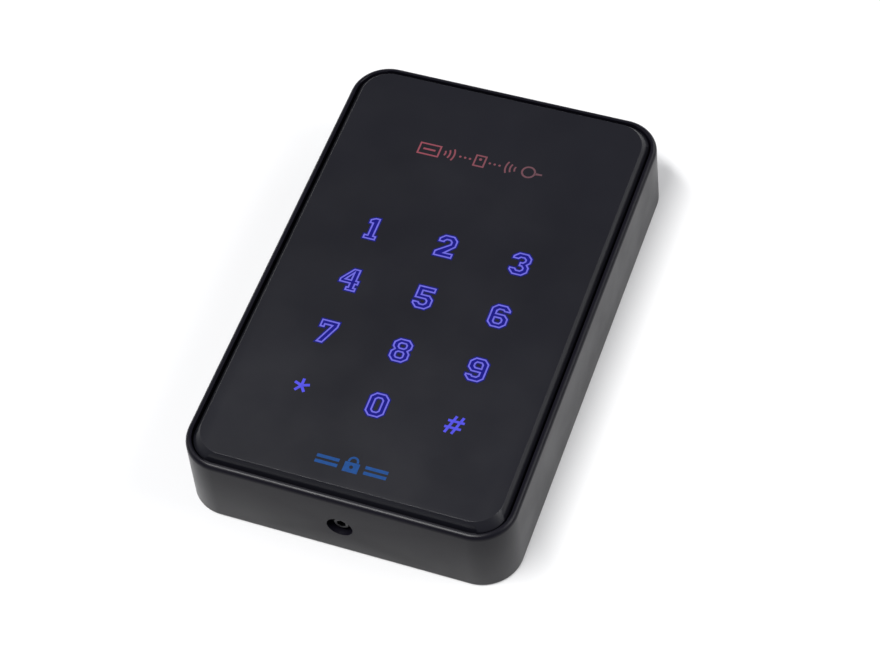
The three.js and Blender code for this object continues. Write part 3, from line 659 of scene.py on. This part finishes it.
# %% The numerals, drawn in a cell 4.8 wide and 6.7 high
HEIGHT, WIDTH, SIZE = 6.7, 4.8, 0.93
FIGURES = {
    "0": [[(1.2, 0), (3.6, 0), (4.8, 1.2), (4.8, 5.5), (3.6, 6.7), (1.2, 6.7), (0, 5.5), (0, 1.2)],
          [(2.0, 1.5), (1.6, 1.9), (1.6, 4.8), (2.0, 5.2), (2.8, 5.2), (3.2, 4.8), (3.2, 1.9), (2.8, 1.5)]],
    "1": [[(0.7, 0), (4.0, 0), (4.0, 1.3), (3.3, 1.3), (3.3, 6.7), (2.0, 6.7), (0.8, 6.0), (0.8, 4.8),
           (1.6, 4.8), (1.6, 1.3), (0.7, 1.3)]],
    "2": [[(0, 0), (4.8, 0), (4.8, 1.5), (2.9, 1.5), (4.8, 3.6), (4.8, 5.5), (3.6, 6.7), (1.2, 6.7),
           (0, 5.5), (0, 4.4), (1.6, 4.4), (1.6, 4.8), (2.0, 5.2), (2.8, 5.2), (3.2, 4.8), (3.2, 4.2),
           (0, 1.5)]],
    "3": [[(1.2, 0), (3.6, 0), (4.8, 1.2), (4.8, 2.7), (4.2, 3.4), (4.8, 4.1), (4.8, 5.5), (3.6, 6.7),
           (1.2, 6.7), (0, 5.5), (0, 4.7), (1.6, 4.7), (1.6, 4.8), (2.0, 5.2), (2.8, 5.2), (3.2, 4.8),
           (3.2, 4.4), (2.8, 4.0), (2.1, 4.0), (2.1, 2.7), (2.8, 2.7), (3.2, 2.3), (3.2, 1.9), (2.8, 1.5),
           (2.0, 1.5), (1.6, 1.9), (1.6, 2.0), (0, 2.0), (0, 1.2)]],
    "4": [[(2.1, 0), (4.8, 0), (4.8, 1.2), (4.2, 1.2), (4.2, 2.1), (4.9, 2.1), (4.9, 3.4), (4.2, 3.4),
           (4.2, 6.7), (2.4, 6.7), (-0.1, 3.2), (-0.1, 2.1), (2.6, 2.1), (2.6, 1.2), (2.1, 1.2)],
          [(1.6, 3.4), (2.6, 4.9), (2.6, 3.4)]],
    "5": [[(1.2, 0), (3.6, 0), (4.8, 1.2), (4.8, 3.2), (3.7, 4.3), (1.7, 4.3), (1.7, 5.2), (4.6, 5.2),
           (4.6, 6.7), (0.1, 6.7), (0.1, 2.9), (2.8, 2.9), (3.2, 2.5), (3.2, 1.9), (2.8, 1.5), (2.0, 1.5),
           (1.6, 1.9), (1.6, 2.0), (0, 2.0), (0, 1.2)]],
    "6": [[(1.2, 0), (3.6, 0), (4.8, 1.2), (4.8, 3.0), (3.7, 4.1), (1.6, 4.1), (1.6, 4.8), (2.0, 5.2),
           (2.9, 5.2), (3.2, 4.9), (3.2, 4.85), (4.8, 4.85), (4.8, 5.5), (3.6, 6.7), (1.2, 6.7), (0, 5.5),
           (0, 1.2)],
          [(1.6, 1.7), (1.6, 2.7), (2.9, 2.7), (3.2, 2.4), (3.2, 1.8), (2.9, 1.4), (1.9, 1.4)]],
    "7": [[(0.8, 0), (2.6, 0), (4.8, 5.2), (4.8, 6.7), (0.2, 6.7), (0.2, 4.4), (1.5, 4.4), (1.5, 5.2),
           (3.0, 5.2)]],
    "8": [[(1.2, 0), (3.6, 0), (4.8, 1.2), (4.8, 2.8), (4.2, 3.5), (4.8, 4.2), (4.8, 5.5), (3.6, 6.7),
           (1.2, 6.7), (0, 5.5), (0, 4.2), (0.6, 3.5), (0, 2.8), (0, 1.2)],
          [(1.6, 1.7), (1.6, 2.5), (1.9, 2.8), (2.9, 2.8), (3.2, 2.5), (3.2, 1.7), (2.9, 1.4), (1.9, 1.4)],
          [(1.6, 4.4), (1.6, 5.0), (1.9, 5.3), (2.9, 5.3), (3.2, 5.0), (3.2, 4.4), (2.9, 4.1), (1.9, 4.1)]],
}
FIGURES["9"] = [[(WIDTH - x, HEIGHT - y) for x, y in loop] for loop in FIGURES["6"]]


def placed(loops, x, y):
    """Moves outlines drawn in millimetres so that their cell is centred on a place on the panel."""
    return [[(x + (a - WIDTH / 2) * SIZE * MM, y + (b - HEIGHT / 2) * SIZE * MM)
             for a, b in loop] for loop in loops]


# %% The legends over their lamps
LEGEND_SHIFT = Vector((0.4, -0.08)) * MM
LINE_WIDE, GLOW_WIDE = 0.37 * MM, 0.29 * MM
legend_top = panel_high.z + PROUD


def key_centre(key):
    low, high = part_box(key)
    return Vector(((low.x + high.x) / 2, (low.y + high.y) / 2)) + LEGEND_SHIFT


for name, loops in FIGURES.items():
    x, y = key_centre(f"key_led_{name}")
    finished(outlined(f"legend_{name}", placed(loops, x, y), legend_top, LINE_WIDE, GLOW_WIDE), "case")

# %% [markdown]
# ## The star and the hash sign
# The star has five arms that meet in one point. Crossing blocks would leave slivers there, so it is drawn
# as one outline: two corners at the end of each arm, then the notch where it meets the next arm. The
# strokes of the hash sign cross in four places well apart, so they are flat blocks joined with a boolean.

# %% The star
STAR_ARMS, STAR_REACH, STAR_HALF = 5, 1.85 * MM, 0.33 * MM
star_centre = key_centre("key_led_star")
corners = []
for arm in range(STAR_ARMS):
    heading = math.tau * arm / STAR_ARMS
    between = heading + math.pi / STAR_ARMS
    along = Vector((math.sin(heading), math.cos(heading))) * STAR_REACH
    aside = Vector((math.cos(heading), -math.sin(heading))) * STAR_HALF
    notch = Vector((math.sin(between), math.cos(between))) * STAR_HALF / math.sin(math.pi / STAR_ARMS)
    corners += [along - aside, along + aside, notch]
star = flat_figure("legend_star", [[tuple(star_centre + corner) for corner in corners]], legend_top)
give(star, legend_solid)
thicken(star)
finished(star, "case")


# %% The hash sign
def stroke(name, start, end, width, top):
    (x0, y0), (x1, y1) = start, end
    along = Vector((x1 - x0, y1 - y0))
    side = Vector((-along.y, along.x)).normalized() * width / 2
    corners = [(x0 + side.x, y0 + side.y), (x1 + side.x, y1 + side.y),
               (x1 - side.x, y1 - side.y), (x0 - side.x, y0 - side.y)]
    piece = flat_figure(name, [corners], top)
    thicken(piece)
    return piece


HASH_LINE = 0.62 * MM
HASH_STEP = 0.002 * MM  # each stroke stands a hair higher, so that no two faces share a plane
HASH_STROKES = [(-1.5, -2.3, -0.1, 2.3), (0.1, -2.3, 1.5, 2.3),
                (-2.0, -0.8, 1.8, -0.8), (-1.7, 0.9, 2.1, 0.9)]
x, y = key_centre("key_led_hash")
strokes = [stroke(f"legend_hash_{i}", (x + a * MM, y + b * MM), (x + c * MM, y + d * MM), HASH_LINE,
                  legend_top + i * HASH_STEP)
           for i, (a, b, c, d) in enumerate(HASH_STROKES)]
hash_sign = strokes[0]
join(hash_sign, *strokes[1:])
hash_sign.name = "legend_hash"
give(hash_sign, legend_solid)
finished(hash_sign, "case")

# %% [markdown]
# ## The status row and the maker's place
# Above the keys the real panel carries a dim red row that tells people to hold a card to it. Here it is a
# drawing without words: a card, its waves, the reader and a key fob. Below the keys, where a maker would
# print a name, there is a plain blue padlock between bars. A wave is drawn along its outer side and back
# along its inner side, and everything is filled as flat figures, like the numerals.

# %% The dim red row
def fading(name, left, right, span):
    """A glow that goes from one colour to another along the row, as its single lamp sits at the left."""
    material, tree, shader = new_material(name, (0.01, 0.01, 0.012), 0.3, specular=0.3)
    place = tree.nodes.new("ShaderNodeTexCoord")
    axes = tree.nodes.new("ShaderNodeSeparateXYZ")
    along = tree.nodes.new("ShaderNodeMapRange")
    along.inputs["From Min"].default_value, along.inputs["From Max"].default_value = span
    ramp = tree.nodes.new("ShaderNodeValToRGB")
    ramp.color_ramp.elements[0].color = (*left, 1)
    ramp.color_ramp.elements[1].color = (*right, 1)
    tree.links.new(place.outputs["Object"], axes.inputs["Vector"])
    tree.links.new(axes.outputs["X"], along.inputs["Value"])
    tree.links.new(along.outputs["Result"], ramp.inputs["Fac"])
    tree.links.new(ramp.outputs["Color"], shader.inputs["Emission Color"])
    shader.inputs["Emission Strength"].default_value = 1.0
    return material


def ring_points(x, y, radius, start, end, count):
    return [(x + radius * math.cos(math.radians(start + (end - start) * i / count)),
             y + radius * math.sin(math.radians(start + (end - start) * i / count)))
            for i in range(count + 1)]


def band(x, y, radius, width, start, end, count=12):
    """The outline of a bent stroke: along its outer side and back along its inner side."""
    return (ring_points(x, y, radius + width / 2, start, end, count)
            + ring_points(x, y, radius - width / 2, end, start, count))


def frame_loops(x0, y0, x1, y1, width):
    return [[(x0, y0), (x1, y0), (x1, y1), (x0, y1)],
            [(x0 + width, y0 + width), (x0 + width, y1 - width), (x1 - width, y1 - width),
             (x1 - width, y0 + width)]]


def in_metres(loops):
    return [[(x * MM, y * MM) for x, y in loop] for loop in loops]


ROW_Y, ROW_HALF, ROW_LINE = 36.45, 1.75, 0.40
row_red = fading("row_red", (0.29, 0.055, 0.078), (0.125, 0.052, 0.064), (-15 * MM, 14 * MM))
row = []
row += frame_loops(-15.6, ROW_Y - ROW_HALF, -10.2, ROW_Y + ROW_HALF, ROW_LINE)
row += [[(-14.4, ROW_Y - 0.25), (-11.4, ROW_Y - 0.25), (-11.4, ROW_Y + 0.25), (-14.4, ROW_Y + 0.25)]]
for radius in (1.5, 2.6, 3.7):
    row.append(band(-10.4, ROW_Y, radius, ROW_LINE, -27, 27))
    row.append(band(9.7, ROW_Y, radius, ROW_LINE, 153, 207))
for x in (-5.2, -4.0, -2.8, 2.1, 3.3, 4.5):
    row.append(ring_points(x, ROW_Y, 0.3, 0, 330, 11))
row += frame_loops(-1.75, ROW_Y - ROW_HALF, 1.05, ROW_Y + ROW_HALF, ROW_LINE)
row += [ring_points(-0.35, ROW_Y + 0.5, 0.38, 0, 330, 11)]
row += [ring_points(11.6, ROW_Y, 1.75, 0, 345, 23), ring_points(11.6, ROW_Y, 1.3, 0, 345, 23)]
row += [[(13.2, ROW_Y - 0.22), (14.9, ROW_Y - 0.22), (14.9, ROW_Y + 0.22), (13.2, ROW_Y + 0.22)]]
status = flat_figure("status_row", in_metres(row), legend_top)
give(status, row_red)
thicken(status)
finished(status, "case")

# %% The blue padlock
PRINT_X, PRINT_Y = 0.6, -50.4
ink, ink_tree, ink_shader = new_material("blue_ink", (0.003, 0.036, 0.14), 0.4, specular=0.35)
ink_tree.links.new(tint(ink_tree, noise(ink_tree, 0.0012), (0.0022, 0.032, 0.125), (0.003, 0.040, 0.155)),
                   ink_shader.inputs["Base Color"])
lock = [[(-1.7, -2.0), (1.7, -2.0), (1.7, 0.5), (-1.7, 0.5)],
        ring_points(0, -0.65, 0.45, 0, 330, 11),
        [(1.25, 0.6)] + ring_points(0, 0.8, 1.25, 0, 180, 12) + [(-1.25, 0.6), (-0.75, 0.6)]
        + ring_points(0, 0.8, 0.75, 180, 0, 12) + [(0.75, 0.6)]]
for side in (-1, 1):
    start, end = sorted((side * 3.0, side * 8.2))
    for y in (-1.2, 0.2):
        lock.append([(start, y - 0.4), (end, y - 0.4), (end, y + 0.4), (start, y + 0.4)])
lock = [[(PRINT_X + x, PRINT_Y + y) for x, y in loop] for loop in lock]
badge = flat_figure("padlock_print", in_metres(lock), legend_top)
give(badge, ink)
thicken(badge)
finished(badge, "case")

# %% [markdown]
# ## The spring of the tamper plunger
# The little spring is a coil of wire that shortens when the wall pushes the plunger in. One round section
# is swept along a screw.

# %% The coil
coil_low, coil_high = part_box("tamper_spring")
COIL_WIRE = 0.2 * MM
COIL_TURNS = 4
WIRE_SIDES, TURN_STEPS = 12, 28
coil_radius = (coil_high.y - coil_low.y) / 2 - COIL_WIRE
coil_x, coil_y = (coil_low.x + coil_high.x) / 2, (coil_low.y + coil_high.y) / 2
bpy.ops.object.select_all(action="DESELECT")
bpy.ops.mesh.primitive_circle_add(vertices=WIRE_SIDES, radius=COIL_WIRE, rotation=(math.pi / 2, 0, 0))
coil = bpy.context.object
coil.name = "tamper_coil"
bpy.ops.object.transform_apply(location=True, rotation=True, scale=True)
edit(coil)
bpy.ops.mesh.select_all(action="SELECT")
bpy.ops.transform.translate(value=(coil_radius, 0, COIL_WIRE))
bpy.ops.object.mode_set(mode="OBJECT")
sweep = coil.modifiers.new("sweep", "SCREW")
sweep.screw_offset = (coil_high.z - coil_low.z - COIL_WIRE * 2) / COIL_TURNS
sweep.iterations = COIL_TURNS
sweep.steps = sweep.render_steps = TURN_STEPS
apply_modifiers(coil)
edit(coil)
bpy.ops.mesh.select_all(action="SELECT")
bpy.ops.mesh.remove_doubles(threshold=WELD)
bpy.ops.mesh.select_all(action="DESELECT")
bpy.ops.mesh.select_non_manifold()
bpy.ops.mesh.fill_holes(sides=0)
bpy.ops.mesh.select_all(action="SELECT")
bpy.ops.mesh.normals_make_consistent(inside=False)
bpy.ops.object.mode_set(mode="OBJECT")
coil.location = (coil_x, coil_y, coil_low.z)
give(coil, FINISHES["spring_steel"])
finished(coil, "case", "tamper_spring", slot="spring_steel", angle=60)
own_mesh(coil)

# %% Write the sizes and finish
print("cad", [round(v / MM, 2) for v in (*cad_low, *cad_high)])
